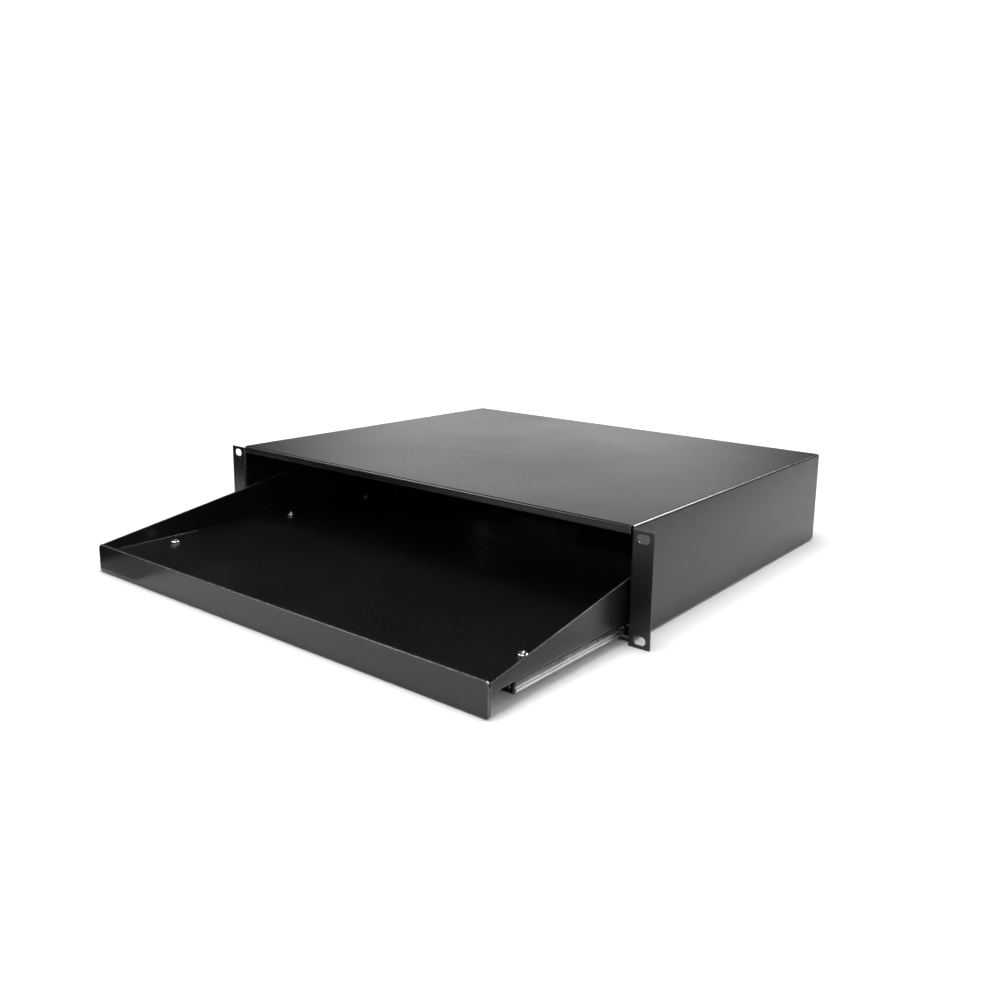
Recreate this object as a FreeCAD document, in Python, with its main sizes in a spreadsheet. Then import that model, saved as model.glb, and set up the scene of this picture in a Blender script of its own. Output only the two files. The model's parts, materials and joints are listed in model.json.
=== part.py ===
import FreeCAD, Part
import math
import os
import Sketcher

# Sliding rack drawer: a two-unit 19-inch case with a tray on two flat-mounted
# three-section ball-bearing slides.
#
# Every piece is drawn with the drawer shut: X to the right, Y to the back from
# the front face of the rack ears, Z up from the underside of the case.  The
# placements then bring the origin to the middle of the ears' slot pattern, on
# the ears' rear face, and pull the drawer out to its resting position.

doc = FreeCAD.newDocument("sliding_rack_drawer")
sizes = doc.addObject("Spreadsheet::Sheet", "Sizes")

DIMENSIONS = (
    # rack ears
    ("rack_wide", 482.6, "over both ears"),
    ("ear_wide", 17.8, "an ear beside the case"),
    ("ear_tall", 88.1, "height of an ear"),
    ("ear_drop", 1.2, "ears reach below the case's underside"),
    ("slot_in", 8.75, "slot centre from the ear's outer edge"),
    ("slot_end", 5.95, "slot centre from the ear's top or bottom"),
    ("slot_long", 10.0, "length of an ear slot"),
    ("slot_tall", 6.8, "height of an ear slot"),
    # folded case
    ("case_tall", 88.9, "outer height"),
    ("case_deep", 361.5, "outer depth behind the ears' front"),
    ("sheet", 1.2, "sheet thickness of case and tray"),
    ("bend", 1.0, "inner radius of a fold"),
    ("bend_relief", 0.3, "straight sheet left beside a fold's end"),
    ("lip_tall", 6.1, "height of the lip over the opening"),
    ("lip_gap", 1.0, "slit between the lip and a side wall"),
    ("flange_wide", 60.0, "return flange under each side"),
    ("front_gap", 4.5, "floor sheet and flanges stand back by this"),
    ("fit", 0.3, "gap between sheets that slip together"),
    # rear panel
    ("rear_flange", 11.0, "depth of the rear panel's flanges"),
    ("rear_tall", 64.0, "top of the rear panel"),
    ("foot_gap", 3.0, "rear panel's foot flange to the slides"),
    # slides
    ("rail_wide", 45.0, "width of the fixed member"),
    ("rail_high", 12.0, "closed height of a slide"),
    ("rail_long", 350.0, "length of the fixed member"),
    ("rail_sheet", 1.2, "steel of fixed and drawer members"),
    ("rail_side_gap", 0.5, "fixed member to side wall"),
    ("rail_gap", 0.3, "slides start behind the tray's front fold"),
    ("fixed_lip_high", 10.5, "top of the fixed member's curled edge"),
    ("fixed_lip_long", 2.7, "reach of the curled edge"),
    ("fixed_curl", 2.1, "outer radius of the curled edge"),
    ("fixed_bend", 1.8, "outer radius of the fixed member's fold"),
    ("ball_wide", 3.0, "ball diameter"),
    ("ball_high", 6.4, "ball centres above the floor sheet"),
    ("ball_play", 0.1, "play of a ball in its track"),
    ("track_deep", 0.45, "depth of a coined ball track"),
    ("middle_side", 1.8, "thickness of the middle member's sides"),
    ("middle_web", 1.0, "thickness of the middle member's web"),
    ("middle_low", 2.6, "underside of the middle member"),
    ("middle_top", 10.2, "top of the middle member"),
    ("middle_bend", 1.4, "outer radius of the middle member's fold"),
    ("trim_long", 2.0, "end trim of the middle member"),
    ("drawer_low", 4.9, "lower edge of the drawer member"),
    ("buffer_long", 8.0, "length of the rear buffer"),
    ("buffer_wide", 26.0, "width of the rear buffer"),
    ("buffer_high", 8.5, "top of the rear buffer"),
    ("buffer_round", 2.0, "corner radius of the rear buffer"),
    ("stop_gap", 0.5, "moving members to buffer when shut"),
    # ball retainers
    ("cage_sheet", 0.6, "thickness"),
    ("cage_long", 160.0, "length"),
    ("cage_start", 90.5, "retainer behind the slide's front, shut"),
    ("cage_high", 8.4, "top of a retainer's sides"),
    ("cage_end", 8.0, "length of a retainer's end bridges"),
    ("cage_clear", 0.35, "bridge above the sheet below it"),
    ("window_play", 0.15, "retainer window around a ball, each way"),
    ("ball_first", 17.5, "first ball behind the retainer's front"),
    ("ball_pitch", 41.5, "ball to ball"),
    # screws
    ("hole_play", 0.1, "play of a shank in its hole, on the radius"),
    ("screw_shank", 4.0, "diameter"),
    ("screw_head", 8.0, "diameter of both kinds of head"),
    ("rail_hole_first", 32.0, "first screw behind the slide's front"),
    ("rail_hole_pitch", 128.0, "screw to screw along a fixed member"),
    ("rail_screw_tip", 0.1, "a rail screw ends short of the return flange"),
    # tray
    ("tray_gap", 2.5, "tray and fascia to the case's side walls"),
    ("tray_deep", 355.5, "fascia front to tray rear"),
    ("wall_front_tall", 22.8, "top of a side wall at the fascia"),
    ("wall_tall", 60.0, "top of a side wall at the rear"),
    ("wall_slope", 9.4, "rake of the side walls' top edge, degrees"),
    ("tray_rear_tall", 34.0, "top of the tray's rear wall"),
    ("tray_flange_tall", 8.5, "front flange below the tray's floor"),
    ("notch_wide", 80.0, "cable notch in the tray's rear wall"),
    ("notch_tall", 12.0, "depth of that notch"),
    ("notch_round", 3.0, "corner radius of that notch"),
    ("pan_head", 2.4, "height of a tray screw's head"),
    ("tray_screw_long", 5.2, "shank of a tray screw"),
    ("tray_hole_front", 60.0, "first tray screw behind the fascia's front"),
    ("tray_hole_middle", 190.0, "second tray screw"),
    ("tray_hole_rear", 292.0, "third tray screw"),
    # fascia
    ("fascia_thick", 2.5, "thickness of the fascia plate"),
    ("fascia_edge", 0.7, "width of the eased front edge"),
    ("fascia_low", -0.9, "lower edge of the fascia"),
    ("fascia_top", 24.0, "top of the fascia"),
    ("fascia_round_top", 4.5, "upper corner radius"),
    ("fascia_round_low", 3.0, "lower corner radius"),
    # resting position
    ("tray_out", 154.0, "tray pulled out at rest"),
    ("middle_out", 131.5, "middle members pulled out at rest"),
)

for row, (alias, value, note) in enumerate(DIMENSIONS, start=1):
    sizes.set("A%d" % row, alias)
    sizes.set("B%d" % row, str(value))
    sizes.set("C%d" % row, note)
    sizes.setAlias("B%d" % row, alias)
doc.recompute()

SIDES = (("left", -1), ("right", 1))
RAIL_SCREWS = 3
BALLS = 4
BALL_MERIDIANS = 6
SHANK_SIDES = 8
BALL_BANDS = 4
TOLERANCE = 1e-3

# Expressions that several pieces share.
EAR_LOW = "(0 - Sizes.ear_drop)"
EAR_TOP = "(Sizes.ear_tall - Sizes.ear_drop)"
HALF_CASE = "(Sizes.rack_wide / 2 - Sizes.ear_wide)"
WALL_INSIDE = "(%s - Sizes.sheet)" % HALF_CASE
OUTER_BEND = "(Sizes.bend + Sizes.sheet)"
FOLD_LONG = "(Sizes.bend + Sizes.sheet + Sizes.bend_relief)"
FLANGE_EDGE = "(%s - Sizes.flange_wide)" % HALF_CASE
FLOOR = "(2 * Sizes.sheet)"
RAIL_MIDDLE = "(%s - Sizes.rail_side_gap - Sizes.rail_wide / 2)" % WALL_INSIDE
RAIL_BACK = "(Sizes.fascia_thick + Sizes.sheet + Sizes.bend + Sizes.rail_gap)"
RAIL_END = "(%s + Sizes.rail_long)" % RAIL_BACK
MOVING_END = "(%s - Sizes.buffer_long - Sizes.stop_gap)" % RAIL_END
BALL_RADIUS = "(Sizes.ball_wide / 2)"
TRACK_RADIUS = "(Sizes.ball_wide / 2 + Sizes.ball_play)"
HALF_RAIL = "(Sizes.rail_wide / 2)"
OUTER_ROW = "(Sizes.rail_wide / 2 - Sizes.rail_sheet - Sizes.ball_wide / 2 - Sizes.ball_play / 2)"
MIDDLE_HALF = "(%s - %s + Sizes.track_deep)" % (OUTER_ROW, TRACK_RADIUS)
INNER_ROW = "(%s - Sizes.middle_side + Sizes.track_deep - %s)" % (MIDDLE_HALF, TRACK_RADIUS)
DRAWER_HALF = "(%s - %s + Sizes.track_deep)" % (INNER_ROW, TRACK_RADIUS)
TRAY_FLOOR = "(2 * Sizes.sheet + Sizes.rail_high)"
TRAY_TOP = "(3 * Sizes.sheet + Sizes.rail_high)"
HALF_TRAY = "(%s - Sizes.tray_gap)" % WALL_INSIDE
SHANK_HOLE = "(Sizes.screw_shank / 2 + Sizes.hole_play)"
HEAD_HOLE = "(Sizes.screw_head / 2 + Sizes.hole_play)"
TRAY_HOLES = ("Sizes.tray_hole_front", "Sizes.tray_hole_middle", "Sizes.tray_hole_rear")


def number(expression):
    """Value of an expression in the sheet's names."""
    return float(sizes.evalExpression(expression))


def add(*terms):
    """Sum of expressions, as one expression."""
    return "(" + " + ".join(str(term) for term in terms) + ")"


def less(first, *others):
    """First expression less the others."""
    return "(" + " - ".join([str(first)] + [str(other) for other in others]) + ")"


def minus(expression):
    """Negative of an expression."""
    return "(0 - %s)" % expression


def signed(sign, expression):
    """Expression with the sign of a side, -1 for left and 1 for right."""
    return expression if sign > 0 else minus(expression)


def settle(piece, label, across="0", out="0"):
    """Labels a finished piece and places it in the object's own frame."""
    piece.Label = label
    piece.setExpression(".Placement.Base.x", across)
    piece.setExpression(".Placement.Base.y", "0 - Sizes.sheet - %s" % out)
    piece.setExpression(".Placement.Base.z", "Sizes.ear_drop - Sizes.ear_tall / 2")
    return piece


# ---------------------------------------------------------------- sketches

def sketch_on(body, role, name, offset="0"):
    """Sketch on one of the body's own origin planes, moved along its normal."""
    plane = [item for item in body.Origin.OriginFeatures if item.Role == role][0]
    sketch = body.newObject("Sketcher::SketchObject", name)
    sketch.AttachmentSupport = [(plane, "")]
    sketch.MapMode = "FlatFace"
    sketch.setExpression(".AttachmentOffset.Base.z", offset)
    return sketch


def fix_point(sketch, geometry, point, across, up):
    """Ties a sketch point to two expressions measured from the origin."""
    for kind, expression in (("DistanceX", across), ("DistanceY", up)):
        value = number(expression)
        index = sketch.addConstraint(Sketcher.Constraint(kind, -1, 1, geometry, point, value))
        sketch.setExpression("Constraints[%d]" % index, expression)


def fix_radius(sketch, geometry, radius):
    """Ties the radius of an arc or circle to an expression."""
    index = sketch.addConstraint(Sketcher.Constraint("Radius", geometry, number(radius)))
    sketch.setExpression("Constraints[%d]" % index, radius)


def polygon(sketch, corners):
    """Closed outline through corners given as pairs of expressions."""
    spots = [FreeCAD.Vector(number(across), number(up), 0) for across, up in corners]
    first = sketch.GeometryCount
    count = len(spots)
    for index, spot in enumerate(spots):
        sketch.addGeometry(Part.LineSegment(spot, spots[(index + 1) % count]))
    for index in range(count):
        following = first + (index + 1) % count
        sketch.addConstraint(Sketcher.Constraint("Coincident", first + index, 2, following, 1))
    for index, (across, up) in enumerate(corners):
        fix_point(sketch, first + index, 1, across, up)


def rectangle(sketch, left, low, right, high):
    """Rectangle between four expressions."""
    polygon(sketch, ((left, low), (right, low), (right, high), (left, high)))


def circle(sketch, across, up, radius):
    """Full circle."""
    centre = FreeCAD.Vector(number(across), number(up), 0)
    upward = FreeCAD.Vector(0, 0, 1)
    index = sketch.addGeometry(Part.Circle(centre, upward, number(radius)))
    fix_point(sketch, index, 3, across, up)
    fix_radius(sketch, index, radius)


def obround(sketch, across, up, long, tall):
    """Slot with round ends, its long axis level."""
    reach = "(%s / 2 - %s / 2)" % (long, tall)
    radius = "(%s / 2)" % tall
    ends = (less(across, reach), add(across, reach))
    quarter = math.pi / 2
    arcs = []
    for end, start in ((ends[0], quarter), (ends[1], -quarter)):
        centre = FreeCAD.Vector(number(end), number(up), 0)
        whole = Part.Circle(centre, FreeCAD.Vector(0, 0, 1), number(radius))
        arcs.append(sketch.addGeometry(Part.ArcOfCircle(whole, start, start + 2 * quarter)))
        fix_point(sketch, arcs[-1], 3, end, up)
    left, right = arcs
    levels = []
    for sign in (-1, 1):
        height = number(up) + sign * number(radius)
        spots = [FreeCAD.Vector(number(end), height, 0) for end in ends]
        levels.append(sketch.addGeometry(Part.LineSegment(spots[0], spots[1])))
    low, high = levels
    for arc, arc_point, line, line_point in (
            (left, 2, low, 1), (low, 2, right, 1), (right, 2, high, 2), (high, 1, left, 1)):
        sketch.addConstraint(Sketcher.Constraint("Tangent", arc, arc_point, line, line_point))
    sketch.addConstraint(Sketcher.Constraint("Equal", left, right))
    fix_radius(sketch, left, radius)


# ---------------------------------------------------------------- features

def new_body(name):
    """Empty body for one piece."""
    return doc.addObject("PartDesign::Body", name)


def check_change(body, before, growing):
    """Stops the build when a feature adds or cuts nothing."""
    change = body.Shape.Volume - before
    if (change > TOLERANCE) != growing or abs(change) < TOLERANCE:
        raise RuntimeError("%s: %s changed nothing" % (body.Name, body.Tip.Name))


def pad(body, role, name, draw, start, end):
    """Pads an outline between two distances along +X, +Y or +Z."""
    backward = role == "XZ_Plane"
    sketch = sketch_on(body, role, name + "_outline", minus(start) if backward else start)
    draw(sketch)
    before = body.Shape.Volume if body.Tip else 0.0
    feature = body.newObject("PartDesign::Pad", name)
    feature.Profile = sketch
    feature.Reversed = backward
    feature.setExpression("Length", less(end, start))
    doc.recompute()
    check_change(body, before, True)
    return feature


def pocket(body, role, name, draw, start, end):
    """Cuts an outline between two distances along +X, +Y or +Z."""
    backward = role == "XZ_Plane"
    sketch = sketch_on(body, role, name + "_outline", minus(start) if backward else start)
    draw(sketch)
    before = body.Shape.Volume
    feature = body.newObject("PartDesign::Pocket", name)
    feature.Profile = sketch
    feature.Reversed = not backward
    feature.setExpression("Length", less(end, start))
    doc.recompute()
    check_change(body, before, False)
    return feature


def edges_along(shape, axis, places):
    """Names of the straight edges along an axis that pass through the places."""
    others = [index for index in range(3) if index != axis]
    names = []
    for index, edge in enumerate(shape.Edges, start=1):
        ends = [vertex.Point for vertex in edge.Vertexes]
        if len(ends) != 2 or not isinstance(edge.Curve, Part.Line):
            continue
        if any(abs(ends[0][other] - ends[1][other]) > TOLERANCE for other in others):
            continue
        spot = [ends[0][other] for other in others]
        for place in places:
            if all(abs(spot[at] - number(place[at])) < TOLERANCE for at in range(2)):
                names.append("Edge%d" % index)
    return names


def dress_up(kind, size_name, body, name, axis, places, size):
    """Fillet or chamfer on straight edges: places are the two other coordinates of each."""
    base = body.Tip
    edges = edges_along(base.Shape, axis, places)
    if len(edges) < len(places):
        raise RuntimeError("%s: %s found %d edges" % (body.Name, name, len(edges)))
    feature = body.newObject(kind, name)
    feature.Base = (base, edges)
    feature.setExpression(size_name, size)
    doc.recompute()
    return feature


def fillet(body, name, axis, places, radius):
    return dress_up("PartDesign::Fillet", "Radius", body, name, axis, places, radius)


def chamfer(body, name, axis, places, width):
    return dress_up("PartDesign::Chamfer", "Size", body, name, axis, places, width)


def both_sides(across, *rest):
    """The same place on the right and on the left."""
    return [(across,) + rest, (minus(across),) + rest]


def countersink(body, name, across, along, low, high):
    """Conical hole through one sheet, from the shank's size up to the head's."""
    cone = body.newObject("PartDesign::SubtractiveCone", name)
    plane = [item for item in body.Origin.OriginFeatures if item.Role == "XY_Plane"][0]
    cone.AttachmentSupport = [(plane, "")]
    cone.MapMode = "FlatFace"
    cone.setExpression("Radius1", SHANK_HOLE)
    cone.setExpression("Radius2", HEAD_HOLE)
    cone.setExpression("Height", less(high, low))
    cone.setExpression(".AttachmentOffset.Base.x", across)
    cone.setExpression(".AttachmentOffset.Base.y", along)
    cone.setExpression(".AttachmentOffset.Base.z", low)
    before = body.Shape.Volume
    doc.recompute()
    check_change(body, before, False)


# ---------------------------------------------------------------- case

def cover_section(sketch):
    polygon(sketch, (
        (minus(HALF_CASE), "0"),
        (minus(FLANGE_EDGE), "0"),
        (minus(FLANGE_EDGE), "Sizes.sheet"),
        (minus(WALL_INSIDE), "Sizes.sheet"),
        (minus(WALL_INSIDE), "(Sizes.case_tall - Sizes.sheet)"),
        (WALL_INSIDE, "(Sizes.case_tall - Sizes.sheet)"),
        (WALL_INSIDE, "Sizes.sheet"),
        (FLANGE_EDGE, "Sizes.sheet"),
        (FLANGE_EDGE, "0"),
        (HALF_CASE, "0"),
        (HALF_CASE, "Sizes.case_tall"),
        (minus(HALF_CASE), "Sizes.case_tall")))


def ear_section(sign):
    """Ear and the fold that joins it to its side wall, seen from above."""
    def draw(sketch):
        polygon(sketch, (
            (signed(sign, WALL_INSIDE), "0"),
            (signed(sign, "(Sizes.rack_wide / 2)"), "0"),
            (signed(sign, "(Sizes.rack_wide / 2)"), "Sizes.sheet"),
            (signed(sign, HALF_CASE), "Sizes.sheet"),
            (signed(sign, HALF_CASE), FOLD_LONG),
            (signed(sign, WALL_INSIDE), FOLD_LONG)))
    return draw


def lip_section(sketch):
    """Lip over the opening and the fold that joins it to the top, seen from the side."""
    polygon(sketch, (
        ("0", "(Sizes.case_tall - Sizes.lip_tall)"),
        ("Sizes.sheet", "(Sizes.case_tall - Sizes.lip_tall)"),
        ("Sizes.sheet", "(Sizes.case_tall - Sizes.sheet)"),
        (FOLD_LONG, "(Sizes.case_tall - Sizes.sheet)"),
        (FOLD_LONG, "Sizes.case_tall"),
        ("0", "Sizes.case_tall")))


def ear_slots(sketch):
    across = less("Sizes.rack_wide / 2", "Sizes.slot_in")
    for side, sign in SIDES:
        for up in (add(EAR_LOW, "Sizes.slot_end"), less(EAR_TOP, "Sizes.slot_end")):
            obround(sketch, signed(sign, across), up, "Sizes.slot_long", "Sizes.slot_tall")


def make_cover():
    body = new_body("case_cover")
    pad(body, "XZ_Plane", "shell", cover_section, FOLD_LONG, "Sizes.case_deep")
    outside = both_sides(HALF_CASE, "0") + both_sides(HALF_CASE, "Sizes.case_tall")
    inside = both_sides(WALL_INSIDE, "Sizes.sheet")
    inside += both_sides(WALL_INSIDE, "(Sizes.case_tall - Sizes.sheet)")
    fillet(body, "outer_folds", 1, outside, OUTER_BEND)
    fillet(body, "inner_folds", 1, inside, "Sizes.bend")

    def flange_fronts(sketch):
        for sign in (-1, 1):
            rectangle(sketch, signed(sign, less(FLANGE_EDGE, "1")), "0 - 1",
                      signed(sign, WALL_INSIDE), add("Sizes.sheet", "Sizes.bend"))
    pocket(body, "XZ_Plane", "flange_fronts", flange_fronts, "0", "Sizes.front_gap")

    for side, sign in SIDES:
        pad(body, "XY_Plane", "ear_" + side, ear_section(sign), EAR_LOW, EAR_TOP)
    fillet(body, "ear_folds_inner", 2, both_sides(HALF_CASE, "Sizes.sheet"), "Sizes.bend")
    fillet(body, "ear_folds_outer", 2, both_sides(WALL_INSIDE, "0"), OUTER_BEND)

    lip_end = less(WALL_INSIDE, "Sizes.lip_gap")
    pad(body, "YZ_Plane", "lip", lip_section, minus(lip_end), lip_end)
    fillet(body, "lip_fold_inner", 0,
           [("Sizes.sheet", "(Sizes.case_tall - Sizes.sheet)")], "Sizes.bend")
    fillet(body, "lip_fold_outer", 0, [("0", "Sizes.case_tall")], OUTER_BEND)

    pocket(body, "XZ_Plane", "slots", ear_slots, "0", "Sizes.sheet")
    settle(body, "case_cover")


def rail_screw_places(across="0"):
    """Places of one fixed member's screws."""
    return [(across, add(RAIL_BACK, "Sizes.rail_hole_first",
                         "%d * Sizes.rail_hole_pitch" % index))
            for index in range(RAIL_SCREWS)]


def make_base():
    body = new_body("base_plate")
    edge = less(WALL_INSIDE, "Sizes.bend", "Sizes.fit")

    def outline(sketch):
        rectangle(sketch, minus(edge), "Sizes.front_gap", edge, "Sizes.case_deep")
    pad(body, "XY_Plane", "plate", outline, "Sizes.sheet", FLOOR)

    def holes(sketch):
        for side, sign in SIDES:
            for across, along in rail_screw_places(signed(sign, RAIL_MIDDLE)):
                circle(sketch, across, along, SHANK_HOLE)
    pocket(body, "XY_Plane", "rail_holes", holes, "Sizes.sheet", FLOOR)
    settle(body, "base_plate")


def make_rear():
    """Low rear wall with a flange at its top and a foot between the slides."""
    body = new_body("rear_panel")
    half = less(WALL_INSIDE, "Sizes.bend", "Sizes.fit")
    foot = less(RAIL_MIDDLE, HALF_RAIL, "Sizes.foot_gap")
    opened = add(foot, "Sizes.bend_relief")
    face = "(Sizes.case_deep - Sizes.sheet)"
    reach = "(Sizes.case_deep - Sizes.rear_flange)"
    under_top = "(Sizes.rear_tall - Sizes.sheet)"
    foot_top = add(FLOOR, "Sizes.sheet")
    fold_top = add(FLOOR, FOLD_LONG)

    wall_low = add(FLOOR, "Sizes.fit")

    def wall_section(sketch):
        polygon(sketch, (
            (face, wall_low), ("Sizes.case_deep", wall_low),
            ("Sizes.case_deep", "Sizes.rear_tall"), (reach, "Sizes.rear_tall"),
            (reach, under_top), (face, under_top)))
    pad(body, "YZ_Plane", "wall", wall_section, minus(half), half)
    fillet(body, "top_fold_outer", 0, [("Sizes.case_deep", "Sizes.rear_tall")], OUTER_BEND)
    fillet(body, "top_fold_inner", 0, [(face, under_top)], "Sizes.bend")

    def foot_room(sketch):
        rectangle(sketch, minus(opened), FLOOR, opened, fold_top)
    pocket(body, "XZ_Plane", "foot_room", foot_room, face, "Sizes.case_deep")

    def foot_section(sketch):
        polygon(sketch, (
            (reach, FLOOR), ("Sizes.case_deep", FLOOR), ("Sizes.case_deep", fold_top),
            (face, fold_top), (face, foot_top), (reach, foot_top)))
    pad(body, "YZ_Plane", "foot", foot_section, minus(foot), foot)
    fillet(body, "foot_fold_outer", 0, [("Sizes.case_deep", FLOOR)], OUTER_BEND)
    fillet(body, "foot_fold_inner", 0, [(face, foot_top)], "Sizes.bend")
    settle(body, "rear_panel")


# ---------------------------------------------------------------- fasteners

def turned(kind, name, across, along, up, **lengths):
    """Part primitive whose axis is upright."""
    item = doc.addObject(kind, name)
    if kind == "Part::Prism":
        item.Polygon = SHANK_SIDES
    for key, expression in lengths.items():
        item.setExpression(key, expression)
    item.setExpression(".Placement.Base.x", across)
    item.setExpression(".Placement.Base.y", along)
    item.setExpression(".Placement.Base.z", up)
    return item


def joined(name, pieces):
    """One solid made of several primitives."""
    fused = doc.addObject("Part::MultiFuse", name)
    fused.Shapes = pieces
    fused.Refine = True
    return fused


def grouped(label, pieces, across="0", out="0"):
    """Identical pieces that share one node."""
    group = doc.addObject("Part::Compound", label)
    group.Links = pieces
    return settle(group, label, across, out)


def make_rail_screws(side, sign):
    """Countersunk screws, flush inside the fixed member."""
    tip = add("Sizes.sheet", "Sizes.rail_screw_tip")
    screws = []
    for index, (across, along) in enumerate(rail_screw_places(), start=1):
        name = "rail_screw_%s_%d" % (side, index)
        head = turned("Part::Cone", name + "_head", across, along, FLOOR,
                      Radius1="Sizes.screw_shank / 2", Radius2="Sizes.screw_head / 2",
                      Height="Sizes.rail_sheet")
        shank = turned("Part::Prism", name + "_shank", across, along, tip,
                       Circumradius="Sizes.screw_shank / 2", Height=less(FLOOR, tip))
        screws.append(joined(name, [head, shank]))
    grouped("rail_screws_" + side, screws, signed(sign, RAIL_MIDDLE))


def make_tray_screws(side, sign):
    """Pan-head screws from the tray's floor into the drawer member."""
    screws = []
    for index, along in enumerate(TRAY_HOLES, start=1):
        name = "tray_screw_%s_%d" % (side, index)
        head = turned("Part::Cylinder", name + "_head", "0", along, TRAY_TOP,
                      Radius="Sizes.screw_head / 2", Height="Sizes.pan_head")
        shank = turned("Part::Prism", name + "_shank", "0", along,
                       less(TRAY_TOP, "Sizes.tray_screw_long"),
                       Circumradius="Sizes.screw_shank / 2", Height="Sizes.tray_screw_long")
        screws.append(joined(name, [head, shank]))
    grouped("tray_screws_" + side, screws, signed(sign, RAIL_MIDDLE), "Sizes.tray_out")


# ---------------------------------------------------------------- slides

def make_fixed_rail(side, sign):
    """C-shaped outer member with curled edges, screwed flat to the floor sheet."""
    body = new_body("fixed_rail_" + side)
    inner = less(HALF_RAIL, "Sizes.rail_sheet")
    lip = less(HALF_RAIL, "Sizes.fixed_lip_long")
    floor = add(FLOOR, "Sizes.rail_sheet")
    top = add(FLOOR, "Sizes.fixed_lip_high")
    under = less(top, "Sizes.rail_sheet")

    def section(sketch):
        polygon(sketch, (
            (minus(HALF_RAIL), FLOOR), (HALF_RAIL, FLOOR), (HALF_RAIL, top), (lip, top),
            (lip, under), (inner, under), (inner, floor), (minus(inner), floor),
            (minus(inner), under), (minus(lip), under), (minus(lip), top),
            (minus(HALF_RAIL), top)))
    pad(body, "XZ_Plane", "channel", section, RAIL_BACK, RAIL_END)
    fillet(body, "folds", 1, both_sides(HALF_RAIL, FLOOR), "Sizes.fixed_bend")
    fillet(body, "folds_inside", 1, both_sides(inner, floor),
           less("Sizes.fixed_bend", "Sizes.rail_sheet"))
    fillet(body, "curls", 1, both_sides(HALF_RAIL, top), "Sizes.fixed_curl")
    fillet(body, "curls_inside", 1, both_sides(inner, under),
           less("Sizes.fixed_curl", "Sizes.rail_sheet"))

    for index, (across, along) in enumerate(rail_screw_places(), start=1):
        countersink(body, "sink_%d" % index, across, along, FLOOR, floor)
    settle(body, "fixed_rail_" + side, signed(sign, RAIL_MIDDLE))


def middle_section(sketch):
    """Middle member: web below, thick sides that carry the ball tracks."""
    low = add(FLOOR, "Sizes.middle_low")
    web = add(low, "Sizes.middle_web")
    top = add(FLOOR, "Sizes.middle_top")
    inner = less(MIDDLE_HALF, "Sizes.middle_side")
    polygon(sketch, (
        (minus(MIDDLE_HALF), low), (MIDDLE_HALF, low), (MIDDLE_HALF, top), (inner, top),
        (inner, web), (minus(inner), web), (minus(inner), top), (minus(MIDDLE_HALF), top)))


def cut_tracks(body, rows, start, end):
    """Round ball tracks along both sides of a member."""
    def draw(sketch):
        for row in rows:
            for sign in (-1, 1):
                circle(sketch, signed(sign, row), add(FLOOR, "Sizes.ball_high"), TRACK_RADIUS)
    pocket(body, "XZ_Plane", "ball_tracks", draw, start, end)


def make_middle_rail(side, sign):
    body = new_body("middle_rail_" + side)
    front = add(RAIL_BACK, "Sizes.trim_long")
    pad(body, "XZ_Plane", "channel", middle_section, front, MOVING_END)
    low = add(FLOOR, "Sizes.middle_low")
    fillet(body, "folds", 1, both_sides(MIDDLE_HALF, low), "Sizes.middle_bend")
    cut_tracks(body, (OUTER_ROW, INNER_ROW), front, MOVING_END)
    settle(body, "middle_rail_" + side, signed(sign, RAIL_MIDDLE), "Sizes.middle_out")

    trim = new_body("middle_trim_" + side)
    pad(trim, "XZ_Plane", "channel", middle_section, RAIL_BACK, front)
    fillet(trim, "folds", 1, both_sides(MIDDLE_HALF, low), "Sizes.middle_bend")
    cut_tracks(trim, (OUTER_ROW, INNER_ROW), RAIL_BACK, front)
    settle(trim, "middle_trim_" + side, signed(sign, RAIL_MIDDLE), "Sizes.middle_out")


def make_drawer_rail(side, sign):
    """Inverted channel under the tray's floor."""
    body = new_body("drawer_rail_" + side)
    low = add(FLOOR, "Sizes.drawer_low")
    web = less(TRAY_FLOOR, "Sizes.rail_sheet")
    inner = less(DRAWER_HALF, "Sizes.rail_sheet")

    def section(sketch):
        polygon(sketch, (
            (minus(DRAWER_HALF), TRAY_FLOOR), (minus(DRAWER_HALF), low), (minus(inner), low),
            (minus(inner), web), (inner, web), (inner, low), (DRAWER_HALF, low),
            (DRAWER_HALF, TRAY_FLOOR)))
    pad(body, "XZ_Plane", "channel", section, RAIL_BACK, MOVING_END)
    fillet(body, "folds", 1, both_sides(DRAWER_HALF, TRAY_FLOOR), "Sizes.fixed_bend")
    fillet(body, "folds_inside", 1, both_sides(inner, web),
           less("Sizes.fixed_bend", "Sizes.rail_sheet"))
    cut_tracks(body, (INNER_ROW,), RAIL_BACK, MOVING_END)

    def holes(sketch):
        for along in TRAY_HOLES:
            circle(sketch, "0", along, SHANK_HOLE)
    pocket(body, "XY_Plane", "holes", holes, web, TRAY_FLOOR)
    settle(body, "drawer_rail_" + side, signed(sign, RAIL_MIDDLE), "Sizes.tray_out")


def make_buffer(side, sign):
    """Rubber block at the closed end of a fixed member."""
    body = new_body("rail_buffer_" + side)
    half = "(Sizes.buffer_wide / 2)"
    front = less(RAIL_END, "Sizes.buffer_long")

    def outline(sketch):
        rectangle(sketch, minus(half), front, half, RAIL_END)
    pad(body, "XY_Plane", "block", outline, add(FLOOR, "Sizes.rail_sheet"),
        add(FLOOR, "Sizes.buffer_high"))
    fillet(body, "corners", 2, both_sides(half, front) + both_sides(half, RAIL_END),
           "Sizes.buffer_round")
    settle(body, "rail_buffer_" + side, signed(sign, RAIL_MIDDLE))


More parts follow.
